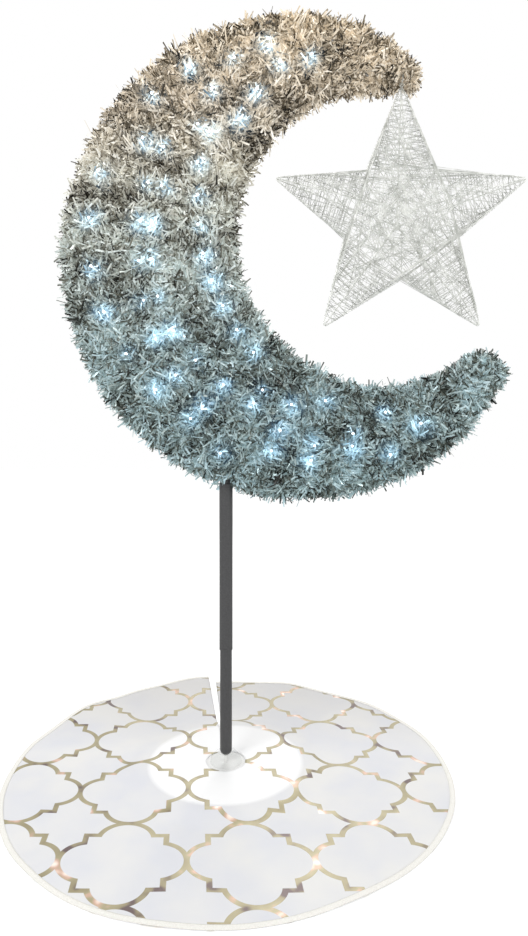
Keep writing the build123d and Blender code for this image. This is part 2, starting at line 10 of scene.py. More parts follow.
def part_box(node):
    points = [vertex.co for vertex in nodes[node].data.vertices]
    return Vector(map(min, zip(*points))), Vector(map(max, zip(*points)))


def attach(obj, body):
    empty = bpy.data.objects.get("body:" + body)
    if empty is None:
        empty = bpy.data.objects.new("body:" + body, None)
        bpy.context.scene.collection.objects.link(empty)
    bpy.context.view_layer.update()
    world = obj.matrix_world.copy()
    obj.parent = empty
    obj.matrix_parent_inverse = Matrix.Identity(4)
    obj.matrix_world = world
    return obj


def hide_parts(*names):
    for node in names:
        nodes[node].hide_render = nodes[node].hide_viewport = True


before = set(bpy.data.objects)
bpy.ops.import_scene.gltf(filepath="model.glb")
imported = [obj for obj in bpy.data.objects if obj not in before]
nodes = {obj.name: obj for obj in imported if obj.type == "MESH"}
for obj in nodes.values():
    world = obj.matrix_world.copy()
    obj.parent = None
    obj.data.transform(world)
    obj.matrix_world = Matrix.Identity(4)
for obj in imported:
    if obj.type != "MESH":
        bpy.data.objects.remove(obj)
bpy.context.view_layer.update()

# A tinsel crescent with lamps and a hanging wire star, on a pole over a skirt with a foil trellis.
# Lengths are in metres, in the frame of the solids. The crescent faces -Y.

rng = np.random.default_rng(20)

# The crescent, as the solids have it
MOON = np.array([0.167, 0.0, 1.101565])
MOON_OUTER_R = 0.522
MOON_INNER_R = 0.326
MOUTH_SHIFT = 0.186
MOUTH_TILT = radians(14.2)
GARLANDS = 10
LOOPS_EACH = 2
LOOP_STEP = radians(10)
LOOPS_ABOVE_POLE = 14.5
LOOP_HUB = 0.7
POLE_GAP_DROP = 0.012
GARLAND_R = 0.0225
CORE_TURN_R = 0.0258
RIM_INSET = CORE_TURN_R + GARLAND_R
OUTER_RIM_R = MOON_OUTER_R - RIM_INSET
INNER_RIM_R = MOON_INNER_R + RIM_INSET
MOUTH = MOON + MOUTH_SHIFT * np.array([cos(MOUTH_TILT), 0, sin(MOUTH_TILT)])
HUB = MOON + LOOP_HUB * (MOUTH - MOON)
rim_over_pole = MOON[2] - sqrt(OUTER_RIM_R**2 - MOON[0] ** 2)
POLE_RAY = np.arctan2(rim_over_pole - POLE_GAP_DROP - HUB[2], -HUB[0]) + 2 * pi
FIRST_RAY = POLE_RAY - LOOPS_ABOVE_POLE * LOOP_STEP

# The horns' ends, in degrees from the mouth's middle line
UPPER_HORN = (46.5, 61)
LOWER_HORN = (46, 61)
UPPER_TAPER = 0.026
TUFT_L = 0.032
HORN_STRIP_L = 0.022

# The star, as the solids have it
STAR_R = 0.291
STAR_NOTCH_R = 0.130
STAR_DEPTH = 0.045
STAR_POINTS = 5
RIB_FOOT = 0.0029
STAR = np.array(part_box("star_hubs")).mean(axis=0)

# The skirt, as the solids have it
SKIRT_R = 0.4555
SKIRT_HOLE_R = 0.042
SLIT_ANGLE = radians(98.5)
SLIT_SPREAD = radians(2.7)
PLATE_R = 0.1703
SHELF_Z = 0.0083
SLOPE = 0.055
CLOTH_T = 0.0014

TOWARDS_BACK = np.array([0.0, 1.0, 0.0])


def colour(text):
    """Linear colour with alpha from an sRGB hex value."""
    parts = [int(text[i:i + 2], 16) / 255 for i in (1, 3, 5)]
    return tuple(c / 12.92 if c <= 0.04045 else ((c + 0.055) / 1.055) ** 2.4 for c in parts) + (1.0,)


def add(tree, kind, inputs=None, stops=(), **settings):
    """Adds a node with its settings, its inputs (plain values or other nodes' outputs) and a ramp's stops."""
    made = tree.nodes.new(kind)
    for name, value in settings.items():
        setattr(made, name, value)
    for socket, given in (inputs or {}).items():
        if isinstance(given, bpy.types.NodeSocket):
            tree.links.new(given, made.inputs[socket])
        else:
            made.inputs[socket].default_value = given
    for number, (place, hex_value) in enumerate(stops):
        elements = made.color_ramp.elements
        element = elements[number] if number < len(elements) else elements.new(place)
        element.position = place
        element.color = colour(hex_value)
    return made


def finish_of(name, **values):
    """A new material, its node tree and its shader, with the shader's plain values."""
    made = bpy.data.materials.new(name)
    made.use_nodes = True
    shader = made.node_tree.nodes["Principled BSDF"]
    for socket, value in values.items():
        shader.inputs[socket.replace("_", " ")].default_value = value
    return made, made.node_tree, shader


def mottle(tree, shader, size, dark, light, relief=0.0, detail=2):
    """Gives a shader a colour that wanders between two shades over this size, and the same in relief."""
    place = add(tree, "ShaderNodeTexCoord")
    grain = add(
        tree, "ShaderNodeTexNoise",
        {"Scale": 1 / size, "Detail": detail, "Vector": place.outputs["Object"]})
    shade = add(
        tree, "ShaderNodeValToRGB", {"Fac": grain.outputs["Fac"]}, stops=[(0.35, dark), (0.65, light)])
    tree.links.new(shade.outputs["Color"], shader.inputs["Base Color"])
    if relief:
        bump = add(
            tree, "ShaderNodeBump", {"Strength": 0.25, "Distance": relief, "Height": grain.outputs["Fac"]})
        tree.links.new(bump.outputs["Normal"], shader.inputs["Normal"])
    return grain


# Metallised polyester, slit into strips. Light lies beside dark as painted reflections: a light or dark tone
# on each strip.
# Champagne at the top, neutral in the middle and cool at the foot. Strips near a lamp shine with its light.
COOL_Z = 0.58
CHAMPAGNE_Z = 1.62
tinsel, tree, shader = finish_of("slit_foil_tinsel", Metallic=0.2, Roughness=0.22, Emission_Strength=1.0)
reflection_attribute = add(tree, "ShaderNodeAttribute", attribute_name="painted_reflection")
glow = add(tree, "ShaderNodeAttribute", attribute_name="lamp_glow")
place = add(tree, "ShaderNodeTexCoord")
height = add(tree, "ShaderNodeSeparateXYZ", {"Vector": place.outputs["Object"]})
way_up = add(
    tree, "ShaderNodeMapRange", {"From Min": COOL_Z, "From Max": CHAMPAGNE_Z, "Value": height.outputs["Z"]})
tint = add(tree, "ShaderNodeValToRGB", {"Fac": way_up.outputs["Result"]}, stops=[
    (0.0, "#B4CCD3"), (0.3, "#BFD3D8"), (0.55, "#E2E9E7"), (0.8, "#F3ECE0"), (1.0, "#F3E8D5")])
light_and_dark = add(tree, "ShaderNodeValToRGB", {"Fac": reflection_attribute.outputs["Fac"]}, stops=[
    (0.0, "#1E1B15"), (0.3, "#7E776A"), (0.62, "#F1EDE6"), (1.0, "#FFFFFF")])
strip_colour = add(
    tree, "ShaderNodeMix", {"Factor": 1.0, 6: tint.outputs["Color"], 7: light_and_dark.outputs["Color"]},
    data_type="RGBA", blend_type="MULTIPLY")
lamp_light = add(tree, "ShaderNodeValToRGB", {"Fac": glow.outputs["Fac"]}, stops=[
    (0.0, "#000000"), (0.25, "#31495A"), (0.55, "#9CC4DE"), (0.8, "#E2F2FF"), (1.0, "#FFFFFF")])
# Painted light: lamp light glows on strips near a lamp, and every strip also glows with a fifth of its own
# colour, lifting strips shaded by their neighbours.
lamps_and_fill_glow = add(
    tree, "ShaderNodeMix", {"Factor": 0.2, 6: lamp_light.outputs["Color"], 7: strip_colour.outputs[2]},
    data_type="RGBA", blend_type="ADD")
tree.links.new(strip_colour.outputs[2], shader.inputs["Base Color"])
tree.links.new(lamps_and_fill_glow.outputs[2], shader.inputs["Emission Color"])

# Silvered steel wire, drawn and wound: bright, with fine dull patches along it.
silver_wire, tree, shader = finish_of("silvered_steel_wire", Metallic=0.25)
dull = mottle(tree, shader, 0.02, "#C4C6C0", "#F0F1ED")
dullness = add(tree, "ShaderNodeMapRange", {"To Min": 0.22, "To Max": 0.5, "Value": dull.outputs["Fac"]})
tree.links.new(dullness.outputs["Result"], shader.inputs["Roughness"])

# Lacquered steel tube: even dark grey with a satin sheen and the lacquer's faint orange peel.
lacquer, tree, shader = finish_of("grey_lacquered_steel", Roughness=0.45)
mottle(tree, shader, 0.003, "#3C3C3D", "#444445", relief=0.00005)

# White powder-coated steel of the base plate and its bolt: matt, finely grained.
powder_coat, tree, shader = finish_of("white_powder_coat", Roughness=0.6)
mottle(tree, shader, 0.0015, "#E4E4E2", "#EEEEEC", relief=0.0001)

# Moulded rubber of the mat: dull black with a fine pebble.
mat_rubber, tree, shader = finish_of("pebbled_rubber", Roughness=0.85)
mottle(tree, shader, 0.003, "#151515", "#262626", relief=0.0005)

# Moulded acrylic of the pole's boss: a clear thin shell, seen through, with pale glossy edges.
acrylic, tree, shader = finish_of("clear_acrylic", Roughness=0.06, IOR=1.49)
mottle(tree, shader, 0.02, "#DDE1DF", "#F2F4F2", relief=0.0002, detail=1)
facing = add(tree, "ShaderNodeLayerWeight", {"Blend": 0.35})
edge = add(tree, "ShaderNodeMapRange", {"To Min": 0.02, "To Max": 0.28, "Value": facing.outputs["Facing"]})
clear = add(tree, "ShaderNodeBsdfTransparent")
shell = add(
    tree, "ShaderNodeMixShader",
    {0: edge.outputs["Result"], 1: clear.outputs["BSDF"], 2: shader.outputs["BSDF"]})
tree.links.new(shell.outputs["Shader"], tree.nodes["Material Output"].inputs["Surface"])

# Clear PVC of the lamp cable and holders: thin, so it is lost among the strips.
clear_pvc, tree, shader = finish_of("clear_pvc", Roughness=0.15, IOR=1.2, Transmission_Weight=1.0)
mottle(tree, shader, 0.01, "#E6EAEA", "#FFFFFF")

# Lit lamp lens: clear epoxy over a white diode, bluish on some lamps.
lit_lens, tree, shader = finish_of("lit_lamp_epoxy", Roughness=0.1, Emission_Strength=4.0)
mottle(tree, shader, 0.05, "#D6EDFF", "#FFFFFF", detail=0)
lamp_colour = shader.inputs["Base Color"].links[0].from_socket
tree.links.new(lamp_colour, shader.inputs["Emission Color"])

# Woven polyester of the skirt with a hot-stamped foil trellis, its thread coarser than the real 0.3 mm.
# The foil is olive gold, with patches of dark bronze, rose and white: painted reflections and glints. The
# white plate shows through.
# The trellis is touching quatrefoils, with a square corner between two lobes, on a lattice a little askew.
FOIL_LINE = 0.0095
FOIL_EDGE = 0.0004
THREAD = 0.0016
HALF_CELL_X = 0.1081
HALF_CELL_Y = 0.102
LATTICE_AT = (-0.1773, -0.105)
LATTICE_SKEW = 0.109
LOBE_AT = 0.54
LOBE_R = 0.46
CORNER = 0.66
PLATE_BLUR = 0.012
SHADE_FROM_Y = 0.05
SHADE_TO_Y = 0.4
GLINT_SIZE = 0.05
printed_cloth, tree, shader = finish_of("foil_printed_polyester", Sheen_Weight=0.1)
# Bluish grey and warm white patches, 14 cm across: painted shade of soft creases.
mottle(tree, shader, 0.14, "#E0E1E6", "#EAE9E7", detail=3)
cloth_with_crease_shade = shader.inputs["Base Color"].links[0].from_socket
place = add(tree, "ShaderNodeTexCoord")
spot = add(tree, "ShaderNodeSeparateXYZ", {"Vector": place.outputs["Object"]})
up = add(tree, "ShaderNodeMath", {0: spot.outputs["Y"], 1: LATTICE_AT[1]}, operation="SUBTRACT")
from_lattice = add(tree, "ShaderNodeMath", {0: spot.outputs["X"], 1: LATTICE_AT[0]}, operation="SUBTRACT")
right = add(
    tree, "ShaderNodeMath", {0: up.outputs[0], 1: LATTICE_SKEW, 2: from_lattice.outputs[0]},
    operation="MULTIPLY_ADD")
cells_right = add(tree, "ShaderNodeMath", {0: right.outputs[0], 1: HALF_CELL_X}, operation="DIVIDE")
cells_up = add(tree, "ShaderNodeMath", {0: up.outputs[0], 1: HALF_CELL_Y}, operation="DIVIDE")
in_cell_x = add(tree, "ShaderNodeMath", {0: cells_right.outputs[0], 1: 1}, operation="PINGPONG")
in_cell_y = add(tree, "ShaderNodeMath", {0: cells_up.outputs[0], 1: 1}, operation="PINGPONG")
far = add(tree, "ShaderNodeMath", {0: in_cell_x.outputs[0], 1: in_cell_y.outputs[0]}, operation="MAXIMUM")
near = add(tree, "ShaderNodeMath", {0: in_cell_x.outputs[0], 1: in_cell_y.outputs[0]}, operation="MINIMUM")
from_lobe = add(tree, "ShaderNodeMath", {0: far.outputs[0], 1: LOBE_AT}, operation="SUBTRACT")
lobe_way = add(tree, "ShaderNodeCombineXYZ", {"X": from_lobe.outputs[0], "Y": near.outputs[0]})
lobe_reach = add(tree, "ShaderNodeVectorMath", {0: lobe_way.outputs[0]}, operation="LENGTH")
past_lobe = add(tree, "ShaderNodeMath", {0: lobe_reach.outputs["Value"], 1: LOBE_R}, operation="SUBTRACT")
past_corner = add(tree, "ShaderNodeMath", {0: far.outputs[0], 1: CORNER}, operation="SUBTRACT")
past_line = add(
    tree, "ShaderNodeMath", {0: past_lobe.outputs[0], 1: past_corner.outputs[0]}, operation="MINIMUM")
off_line = add(tree, "ShaderNodeMath", {0: past_line.outputs[0]}, operation="ABSOLUTE")
HALF_LINE = FOIL_LINE / 2 / HALF_CELL_Y
LINE_BLUR = FOIL_EDGE / HALF_CELL_Y
foil = add(
    tree, "ShaderNodeMapRange",
    {"From Min": HALF_LINE - LINE_BLUR, "From Max": HALF_LINE + LINE_BLUR, "To Min": 1.0, "To Max": 0.0,
     "Value": off_line.outputs[0]})
on_floor = add(tree, "ShaderNodeCombineXYZ", {"X": spot.outputs["X"], "Y": spot.outputs["Y"]})
from_pole = add(tree, "ShaderNodeVectorMath", {0: on_floor.outputs[0]}, operation="LENGTH")
over_plate = add(
    tree, "ShaderNodeMapRange",
    {"From Min": PLATE_R - PLATE_BLUR, "From Max": PLATE_R, "To Min": 1.0, "To Max": 0.0,
     "Value": from_pole.outputs["Value"]})
backed_cloth = add(
    tree, "ShaderNodeMix", {0: over_plate.outputs["Result"], 6: cloth_with_crease_shade, 7: colour("#FFFFFF")},
    data_type="RGBA")
# Painted shade: the cloth greys towards the back, where less light falls on it.
painted_shade_at_back = add(
    tree, "ShaderNodeMapRange",
    {"From Min": SHADE_FROM_Y, "From Max": SHADE_TO_Y, "To Min": 0.0, "To Max": 0.6,
     "Value": spot.outputs["Y"]})
shaded_cloth = add(
    tree, "ShaderNodeMix", {0: painted_shade_at_back.outputs["Result"], 6: backed_cloth.outputs[2], 7: colour("#C6C3C0")},
    data_type="RGBA")
# Painted reflections and glints on the foil: dark bronze, rose and white patches over its olive gold, at
# random.
foil_glint_noise = add(
    tree, "ShaderNodeTexNoise", {"Scale": 1 / GLINT_SIZE, "Detail": 2, "Vector": place.outputs["Object"]})
foil_with_glints = add(tree, "ShaderNodeValToRGB", {"Fac": foil_glint_noise.outputs["Fac"]}, stops=[
    (0.33, "#5E4A47"), (0.41, "#958A69"), (0.57, "#A69C79"), (0.64, "#D0AC96"), (0.72, "#FFF0E4")])
printed = add(
    tree, "ShaderNodeMix",
    {0: foil.outputs["Result"], 6: shaded_cloth.outputs[2], 7: foil_with_glints.outputs["Color"]},
    data_type="RGBA")
tree.links.new(printed.outputs[2], shader.inputs["Base Color"])
metal = add(tree, "ShaderNodeMath", {0: foil.outputs["Result"], 1: 0.2}, operation="MULTIPLY")
tree.links.new(metal.outputs[0], shader.inputs["Metallic"])
gloss = add(tree, "ShaderNodeMapRange", {"To Min": 0.85, "To Max": 0.35, "Value": foil.outputs["Result"]})
tree.links.new(gloss.outputs["Result"], shader.inputs["Roughness"])
WAVES_PER_UNIT = 2 * pi
weave = {"Scale": 1 / THREAD / WAVES_PER_UNIT, "Distortion": 0.5, "Vector": place.outputs["Object"]}
warp = add(tree, "ShaderNodeTexWave", weave, bands_direction="X")
weft = add(tree, "ShaderNodeTexWave", weave, bands_direction="Y")
threads = add(
    tree, "ShaderNodeMath", {0: warp.outputs["Fac"], 1: weft.outputs["Fac"]}, operation="MULTIPLY")
bump = add(
    tree, "ShaderNodeBump", {"Strength": 0.12, "Distance": 0.0004, "Height": threads.outputs["Value"]})
tree.links.new(bump.outputs["Normal"], shader.inputs["Normal"])

# Cotton tape of the hem: white, slightly uneven.
hem_tape, tree, shader = finish_of("cotton_tape", Roughness=0.9)
mottle(tree, shader, 0.002, "#EDEBE4", "#F8F6F0", relief=0.0003)


def show(mesh, name, finish, body, slot, *replaced):
    """Puts a mesh in the scene as a piece that rides on a body and stands for these solids."""
    piece = bpy.data.objects.new(name, mesh)
    mesh.materials.clear()
    mesh.materials.append(finish)
    bpy.context.scene.collection.objects.link(piece)
    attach(piece, body)
    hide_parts(*replaced)
    return piece


def dress(finish, *names):
    """Gives solids that stay in view their finish."""
    for name in names:
        mesh = nodes[name].data
        mesh.materials.clear()
        mesh.materials.append(finish)


dress(mat_rubber, "base_mat")
dress(powder_coat, "base_plate", "pole_bolt")
dress(lacquer, "pole_end_plug", "lower_pole", "stop_ring", "upper_pole", "stub_tube", "stub_collar")
dress(lacquer, "outer_rim", "inner_rim", "frame_rungs")
dress(clear_pvc, "light_wire", "lamp_holders")
dress(lit_lens, "lamp_lenses")
dress(silver_wire, "star_eye", "hanger_ring", "star_loop")
dress(silver_wire, "star_outline", "star_front_ribs", "star_back_ribs", "star_hubs")

# Boss: the solid's shape with its foot lifted a little, because faces that lie in the plate's would flicker
FOOT_LIFT = 0.0004
boss_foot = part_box("foot_boss")[0][2]
boss_mesh = nodes["foot_boss"].data.copy()
for vert in boss_mesh.vertices:
    vert.co.z = max(vert.co.z, boss_foot + FOOT_LIFT)
show(boss_mesh, "clear_boss", acrylic, "stand", "clear_acrylic", "foot_boss")

# Tinsel: foil strips on brush cores wound round the crescent's rims, drawn wider than the real 2 mm.
# One strip is a small grid, and its copies are placed all at once, as they are too many to make one by one.
STRIP_ROWS = 3
STRIP_L = 0.026
STRIP_W = 0.0036
STRIPS_PER_M2 = 95000
BRUSH_TURNS = 36
POLE_ROOM = 0.02
POLE_ROOM_TOP = 0.617
HALO_R = 0.019
CLUMP = 0.05
STANDING_SHARE = 0.2
STANDING_LEAN = (0, 0.7)
LYING_LEAN = (0.7, 1.55)
LYING_RISE = (-0.006, 0.018)
CLUMP_TURN = 1.6 * pi
STRAY_TURN = 0.6
LENGTH_SPREAD = (0.75, 1.15)
WIDTH_SPREAD = (0.7, 1.2)
BEND_SPREAD = 0.3
TWIST_SPREAD = 0.8
CLUMP_REFLECTION = 0.42
REFLECTION_SHAPE = (1.2, 1.1)
LAMP_DEPTH = 0.7
LAMP_CATCH = (0.25, 1.0)
ring_low, ring_high = np.array(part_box("hanger_ring"))
RING_HALF = (ring_high - ring_low) / 2
RING_TOP = ring_high[2]
ROOM_MARGIN = 0.005
SWAY_SPREAD = tan(radians(8))
NOD_SPREAD = tan(radians(15))
ARM_SPREAD = 0.41
SLIM_FROM = 82
SLIM_OVER = 32
UPPER_SLIM = 0.017
LOWER_SLIM = 0.013

strip_bm = bmesh.new()
bmesh.ops.create_grid(strip_bm, x_segments=1, y_segments=STRIP_ROWS - 1, size=0.5)
strip_bm.verts.ensure_lookup_table()
strip_across = np.array([vert.co.x for vert in strip_bm.verts])
strip_along = np.array([vert.co.y + 0.5 for vert in strip_bm.verts])
strip_faces = np.array([[vert.index for vert in face.verts] for face in strip_bm.faces])
strip_bm.free()

lens_points = KDTree(len(nodes["lamp_lenses"].data.vertices))
for vert in nodes["lamp_lenses"].data.vertices:
    lens_points.insert(vert.co, vert.index)
lens_points.balance()


def unit(vectors):
    return vectors / np.linalg.norm(vectors, axis=-1, keepdims=True)


def wander(points, size, start):
    """A smooth random field, from -1 to 1, that changes over this size."""
    offset = Vector((start, start, start))
    return np.array([noise.noise(Vector(point) / size + offset) for point in points])


def glow_at(points, strength):
    """How brightly the nearest lamp lights each point, from 0 to 1. The strength scales its halo."""
    far = np.array([lens_points.find(Vector(point))[2] for point in points])
    return np.exp(-((far / (HALO_R * strength)) ** 2))


def slim_horns(roots):
    """Draws the roots in towards the horns' ends, where the tinsel is thinner on the outer side."""
    out = roots - MOON
    reach = np.linalg.norm(out, axis=1)
    from_mouth = np.degrees(np.arctan2(out[:, 2], out[:, 0]) - MOUTH_TILT)
    share = np.clip((SLIM_FROM - np.abs(from_mouth)) / SLIM_OVER, 0, 1)
    outer = np.clip((reach - INNER_RIM_R) / (OUTER_RIM_R - INNER_RIM_R), 0, 1)
    amount = np.where(from_mouth > 0, UPPER_SLIM, LOWER_SLIM) * share * outer
    return roots - out * (amount / reach)[:, None]


def in_star_room(points):
    """Whether points lie where the star's upper arm and its ring swing."""
    aside, ahead, _ = np.abs(points - STAR).T
    below_ring_top = RING_TOP - points[:, 2]
    below_tip = np.clip(STAR[2] + STAR_R - points[:, 2], 0, None)
    wide = RING_HALF[0] + ROOM_MARGIN + below_ring_top * SWAY_SPREAD + below_tip * ARM_SPREAD
    deep = RING_HALF[1] + ROOM_MARGIN + below_ring_top * NOD_SPREAD
    beside_arm = (below_ring_top > -ROOM_MARGIN) & (points[:, 2] > STAR[2])
    return beside_arm & (aside < wide) & (ahead < deep)


def brush(name, roots, normals, cores, lengths, *replaced):
    """Foil strips that start at the roots. Most lie over, the same way in each clump, and some stand up."""
    roots = slim_horns(roots)
    count = len(roots)
    stand_up = rng.uniform(size=count) < STANDING_SHARE
    lean = np.where(stand_up, rng.uniform(*STANDING_LEAN, count), rng.uniform(*LYING_LEAN, count))[:, None]
    rise = np.where(stand_up, 0, rng.uniform(*LYING_RISE, count))[:, None]
    clump_turn = CLUMP_TURN * wander(roots, CLUMP, 3.0)
    turn = (clump_turn + rng.normal(0, STRAY_TURN, count) + pi * rng.integers(0, 2, count))[:, None]
    sideways = np.cross(normals, cores) * np.cos(turn) + cores * np.sin(turn)
    ways = unit(normals * np.cos(lean) + sideways * np.sin(lean))
    roots = roots + normals * rise
    lengths = lengths * rng.uniform(*LENGTH_SPREAD, count)
    tips = roots + ways * lengths[:, None]
    beside_pole = (np.abs(tips[:, 0]) < POLE_ROOM) & (tips[:, 1] < POLE_ROOM)
    in_pole_room = beside_pole & (tips[:, 2] < POLE_ROOM_TOP)
    middles = (roots + tips) / 2
    kept = ~(in_pole_room | in_star_room(roots) | in_star_room(middles) | in_star_room(tips))
    roots, ways, lengths = roots[kept], ways[kept], lengths[kept]
    count = len(roots)

    flat = unit(np.cross(ways, rng.normal(size=(count, 3))))
    curl = np.cross(ways, flat)
    bend = rng.normal(0.0, BEND_SPREAD, count) * lengths
    twist = rng.normal(0.0, TWIST_SPREAD, count)
    widths = STRIP_W * rng.uniform(*WIDTH_SPREAD, count)
    along = strip_along[None, :, None]
    turned = (twist[:, None] * strip_along[None, :])[..., None]
    side = flat[:, None] * np.cos(turned) + curl[:, None] * np.sin(turned)
    spine = (
        roots[:, None]
        + ways[:, None] * along * lengths[:, None, None]
        + curl[:, None] * along**2 * bend[:, None, None])
    points = spine + side * strip_across[None, :, None] * widths[:, None, None]
    corners = len(strip_across)
    faces = strip_faces[None] + (np.arange(count) * corners)[:, None, None]
    mesh = bpy.data.meshes.new(f"tinsel_{name}")
    mesh.from_pydata(points.reshape(-1, 3), [], faces.reshape(-1, 4).tolist())
    # Each strip's light or dark tone is a painted reflection, set at random and by clump.
    clump_reflection = CLUMP_REFLECTION * wander(roots, CLUMP, 11.0)
    reflection_tones = np.repeat(np.clip(rng.beta(*REFLECTION_SHAPE, count) + clump_reflection, 0, 1), corners)
    mesh.attributes.new("painted_reflection", "FLOAT", "POINT").data.foreach_set("value", reflection_tones)
    strength = np.repeat(1 + LAMP_DEPTH * wander(roots, CLUMP, 19.0), corners)
    caught = np.repeat(rng.uniform(*LAMP_CATCH, count), corners)
    glows = glow_at(points.reshape(-1, 3), strength) * caught
    mesh.attributes.new("lamp_glow", "FLOAT", "POINT").data.foreach_set("value", glows)
    return show(mesh, f"tinsel_{name}", tinsel, "moon", "foil_tinsel", *replaced)


def on_ray(rays, centre, radius):
    """Where rays from the loops' hub meet a circle."""
    ways = np.stack([np.cos(rays), np.zeros_like(rays), np.sin(rays)], axis=-1)
    out = centre - HUB
    along = ways @ out
    return HUB + ways * (along + np.sqrt(along**2 + radius**2 - out @ out))[:, None]


PAST_ENDS = 0.3
FIRST_INDEX = -PAST_ENDS
LAST_INDEX = GARLANDS * LOOPS_EACH + PAST_ENDS
TURN_SPREAD = (0.85, 1.15)
MIDDLE_LENGTH = 1.15
SIDE_LOSS = 0.9
turn_lengths = rng.uniform(*TURN_SPREAD, BRUSH_TURNS + 1)


def brush_rays(count):
    """Rays near the turns of the brush cores, and how long the strips of each turn are."""
    turns = rng.integers(0, BRUSH_TURNS + 1, count)
    aside = rng.uniform(-0.5, 0.5, count)
    share = np.clip((turns + aside) / BRUSH_TURNS, 0, 1)
    rays = FIRST_RAY + (FIRST_INDEX + share * (LAST_INDEX - FIRST_INDEX)) * LOOP_STEP
    return rays, STRIP_L * turn_lengths[turns] * (MIDDLE_LENGTH - SIDE_LOSS * np.abs(aside))


def face_strips(count, side):
    """Rays, roots, normals, core ways and lengths of strips on the crescent's front (-1) or back (1)."""
    rays, lengths = brush_rays(4 * count)
    outer = on_ray(rays, MOON, OUTER_RIM_R)
    inner = on_ray(rays, MOUTH, INNER_RIM_R)
    share = rng.uniform(0, 1, len(rays))[:, None]
    spots = inner + (outer - inner) * share
    weight = np.linalg.norm(spots - HUB, axis=1) * np.linalg.norm(outer - inner, axis=1)
    kept = np.flatnonzero(rng.uniform(0, weight.max(), len(rays)) < weight)[:count]
    normals = np.broadcast_to(TOWARDS_BACK * side, (len(kept), 3))
    cores = unit(outer - inner)[kept]
    return rays[kept], spots[kept] + normals * CORE_TURN_R, normals, cores, lengths[kept]


def edge_strips(count, centre, rim_r, sense):
    """The same round the outer rim (1) or the inner one (-1)."""
    rays, lengths = brush_rays(count)
    rim = on_ray(rays, centre, rim_r)
    outward = unit(rim - centre) * sense
    lean = rng.uniform(-pi / 2, pi / 2, count)[:, None]
    normals = outward * np.cos(lean) + TOWARDS_BACK * np.sin(lean)
    cores = TOWARDS_BACK * np.cos(lean) - outward * np.sin(lean)
    return rays, rim + normals * CORE_TURN_R, normals, cores, lengths


FACE_SHARE = 0.86
EDGE_WRAP = 1.5 * pi
OUTER_ARC = radians(264)
INNER_ARC = radians(195)
crescent_area = pi * (MOON_OUTER_R**2 - MOON_INNER_R**2) * FACE_SHARE
edge_girth = EDGE_WRAP * CORE_TURN_R
face_count = int(crescent_area * STRIPS_PER_M2)
outer_count = int(OUTER_RIM_R * OUTER_ARC * edge_girth * STRIPS_PER_M2)
inner_count = int(INNER_RIM_R * INNER_ARC * edge_girth * STRIPS_PER_M2)
groups = [
    face_strips(face_count, -1),
    face_strips(face_count, 1),
    edge_strips(outer_count, MOON, OUTER_RIM_R, 1),
    edge_strips(inner_count, MOUTH, INNER_RIM_R, -1)]
rays, roots, normals, cores, lengths = (np.concatenate(column) for column in zip(*groups))
index = (rays - FIRST_RAY) / LOOP_STEP
garland_of_strip = np.clip(np.floor((index + 0.25) / LOOPS_EACH), 0, GARLANDS - 1)
for number in range(GARLANDS):
    mine = garland_of_strip == number
    name = f"garland_{number + 1:02d}"
    brush(name, roots[mine], normals[mine], cores[mine], lengths[mine], name)


# The horns end in brushes: a sleeve whose outside may taper, and a domed tuft
def horn_section(from_mouth, way, taper):
    """Middle, outward way, heading and half width of a horn, at angles from the mouth's middle line."""
    turn = MOUTH_TILT + way * from_mouth
    outward = np.stack([np.cos(turn), np.zeros_like(turn), np.sin(turn)], axis=-1)
    heading = np.stack([np.sin(turn), np.zeros_like(turn), -np.cos(turn)], axis=-1) * way
    reach = MOUTH_SHIFT * np.cos(from_mouth) + np.sqrt(
        MOON_INNER_R**2 - (MOUTH_SHIFT * np.sin(from_mouth)) ** 2)
    outer = MOON_OUTER_R - taper
    return MOON + outward * ((outer + reach) / 2)[:, None], outward, heading, (outer - reach) / 2


def sleeve_brush(name, ends, way, taper, count):
    tip, wide = np.radians(ends)
    from_mouth = rng.uniform(tip, wide, count)
    share = (wide - from_mouth) / (wide - tip)
    middle, outward, heading, half_width = horn_section(from_mouth, way, taper * share**2)
    round_it = rng.uniform(0, 2 * pi, count)[:, None]
    skin = outward * half_width[:, None] * np.cos(round_it) + TOWARDS_BACK * RIM_INSET * np.sin(round_it)
    normals = unit(
        outward * np.cos(round_it) / half_width[:, None] + TOWARDS_BACK * np.sin(round_it) / RIM_INSET)
    brush(name, middle + skin - normals * GARLAND_R, normals, heading, np.full(count, HORN_STRIP_L), name)


def tuft_brush(name, tip, way, taper, count):
    middle, outward, heading, half_width = horn_section(np.full(count, radians(tip)), way, taper)
    round_it = rng.uniform(0, 2 * pi, count)[:, None]
    forward = np.arcsin(rng.uniform(0, 1, count))[:, None]
    aside = outward * np.cos(round_it) + TOWARDS_BACK * np.sin(round_it)
    normals = aside * np.cos(forward) + heading * np.sin(forward)
    skin = aside * np.cos(forward) * half_width[:, None] + heading * np.sin(forward) * TUFT_L
    cores = unit(np.cross(normals, np.cross(heading, aside)))
    brush(name, middle + skin - normals * GARLAND_R, normals, cores, np.full(count, HORN_STRIP_L), name)


UPPER_SLEEVE_STRIPS = 3800
UPPER_TUFT_STRIPS = 1300
LOWER_SLEEVE_STRIPS = 4500
LOWER_TUFT_STRIPS = 1700
sleeve_brush("upper_sleeve", UPPER_HORN, 1, UPPER_TAPER, UPPER_SLEEVE_STRIPS)
tuft_brush("upper_tuft", UPPER_HORN[0], 1, UPPER_TAPER, UPPER_TUFT_STRIPS)
sleeve_brush("lower_sleeve", LOWER_HORN, -1, 0, LOWER_SLEEVE_STRIPS)
tuft_brush("lower_tuft", LOWER_HORN[0], -1, 0, LOWER_TUFT_STRIPS)

